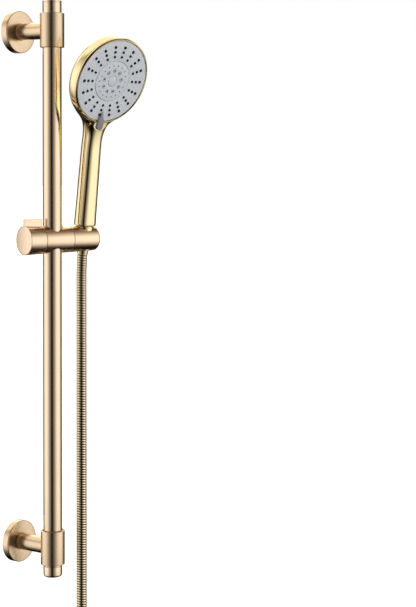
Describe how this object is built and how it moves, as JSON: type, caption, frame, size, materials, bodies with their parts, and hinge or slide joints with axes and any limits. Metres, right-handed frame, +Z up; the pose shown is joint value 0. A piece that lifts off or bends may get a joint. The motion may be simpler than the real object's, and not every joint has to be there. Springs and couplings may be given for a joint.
{
  "type": "shower slide rail with hand shower",
  "caption": "Wall-mounted slide rail with a lever-clamped slider, tilting cone holder, multi-spray hand shower with selector tab, and a flexible metal hose with its spare length tied in a coil.",
  "frame": {"origin": "centre of the upper bracket's wall face; the wall is the plane Y = 0", "axes": "+Z up along the rail, +Y into the wall, -Y towards the room, X along the wall"},
  "size_m": [0.1426, 0.2283, 0.9973],
  "materials": {
    "rail_gold": "brushed champagne gold coating",
    "bracket_gold": "brushed champagne gold coating",
    "slider_gold": "fine turned rose champagne gold coating",
    "polished_gold": "polished gold plating on ABS",
    "hose_gold": "glossy gold, wound metal hose",
    "face_grey": "satin light grey",
    "tab_grey": "satin mid grey",
    "white_plastic": "moulded acetal",
    "blue_plastic": "moulded",
    "black_rubber": "matt silicone rubber",
    "steel": "bare stainless steel",
    "bare_brass": "machined brass"
  },
  "bodies": {
    "frame": {"rail_tube": "rail_gold", "rail_top_cap": "rail_gold", "rail_bottom_cap": "rail_gold", "upper_wall_plate": "steel", "upper_rosette": "bracket_gold", "upper_post": "bracket_gold", "upper_bush": "white_plastic", "upper_set_screw": "steel", "upper_wall_screw_left": "steel", "upper_wall_screw_right": "steel", "lower_wall_plate": "steel", "lower_rosette": "bracket_gold", "lower_post": "bracket_gold", "lower_bush": "white_plastic", "lower_set_screw": "steel", "lower_wall_screw_left": "steel", "lower_wall_screw_right": "steel"},
    "carriage": {"slider_liner": "white_plastic"},
    "slider": {"slider_body": "slider_gold", "knob_clip": "steel", "shoe_spring": "steel", "friction_washer": "white_plastic", "spring_washer": "steel", "pivot_bolt": "steel"},
    "lever": {"lever_knob": "slider_gold", "knob_cap": "slider_gold", "cam_screw": "steel", "lever_cam": "bare_brass"},
    "brake": {"brake_shoe": "bare_brass"},
    "holder": {"holder": "slider_gold"},
    "hose_top": {"cone_nut": "polished_gold", "hose_ferrule": "bare_brass", "hose_washer": "black_rubber"},
    "handset": {"handset_shell": "polished_gold", "bezel_ring": "polished_gold", "inlet_spigot": "bare_brass", "flow_restrictor": "blue_plastic", "water_tube": "white_plastic", "diverter_base": "white_plastic", "base_seal": "black_rubber", "detent_spring": "steel", "detent_ball": "steel", "face_screw": "steel"},
    "spray_face": {"selector_disc": "white_plastic", "nozzle_mat": "black_rubber", "face_plate": "face_grey", "jet_disc": "face_grey", "face_cap": "face_grey", "selector_tab": "tab_grey"},
    "hose": {"hose_run": "hose_gold", "hose_coil": "hose_gold", "hose_tie": "black_rubber", "hose_tail": "hose_gold", "end_ferrule": "bare_brass", "end_washer": "black_rubber"},
    "hose_end": {"end_nut": "polished_gold"}
  },
  "joints": [
    {"name": "slider_height", "type": "slide", "parent": "frame", "child": "carriage", "axis": [0, 0, 1], "range_m": [-0.36, 0.225]},
    {"name": "slider_swivel", "type": "hinge", "parent": "carriage", "child": "slider", "pos_m": [0, -0.065, -0.275], "axis": [0, 0, 1], "range_deg": [-30, 55]},
    {"name": "lever_turn", "type": "hinge", "parent": "slider", "child": "lever", "pos_m": [0, -0.065, -0.275], "axis": [0.9659, -0.2588, 0], "range_deg": [0, 60]},
    {"name": "brake_slide", "type": "slide", "parent": "slider", "child": "brake", "axis": [-0.9659, 0.2588, 0], "range_m": [0, 0.0008]},
    {"name": "holder_tilt", "type": "hinge", "parent": "slider", "child": "holder", "pos_m": [0, -0.065, -0.275], "axis": [0.9659, -0.2588, 0], "range_deg": [-4, 30]},
    {"name": "handset_lift", "type": "slide", "parent": "holder", "child": "hose_top", "axis": [-0.0365, -0.1361, 0.99], "range_m": [0, 0.03]},
    {"name": "handset_turn", "type": "hinge", "parent": "hose_top", "child": "handset", "pos_m": [0.0483, -0.07794, -0.275], "axis": [-0.0365, -0.1361, 0.99], "range_deg": [-12, 12]},
    {"name": "selector_turn", "type": "hinge", "parent": "handset", "child": "spray_face", "pos_m": [0.03497, -0.13852, -0.06726], "axis": [-0.1576, -0.9152, -0.3708], "range_deg": [-25, 25]},
    {"name": "hose_bend", "type": "hinge", "parent": "hose_top", "child": "hose", "pos_m": [0.04904, -0.07518, -0.2951], "axis": [0.9659, -0.2588, 0], "range_deg": [-30, 4], "deforming": ["hose_run"]},
    {"name": "end_nut_turn", "type": "hinge", "parent": "hose", "child": "hose_end", "pos_m": [0.07729, -0.08024, -0.95], "axis": [0, 0, 1], "continuous": true}
  ],
  "couplings": [
    {"joint": "brake_slide", "follows": "lever_turn", "m_per_rad": 0.00076394},
    {"joint": "hose_bend", "follows": "holder_tilt", "ratio": -1}
  ]
}
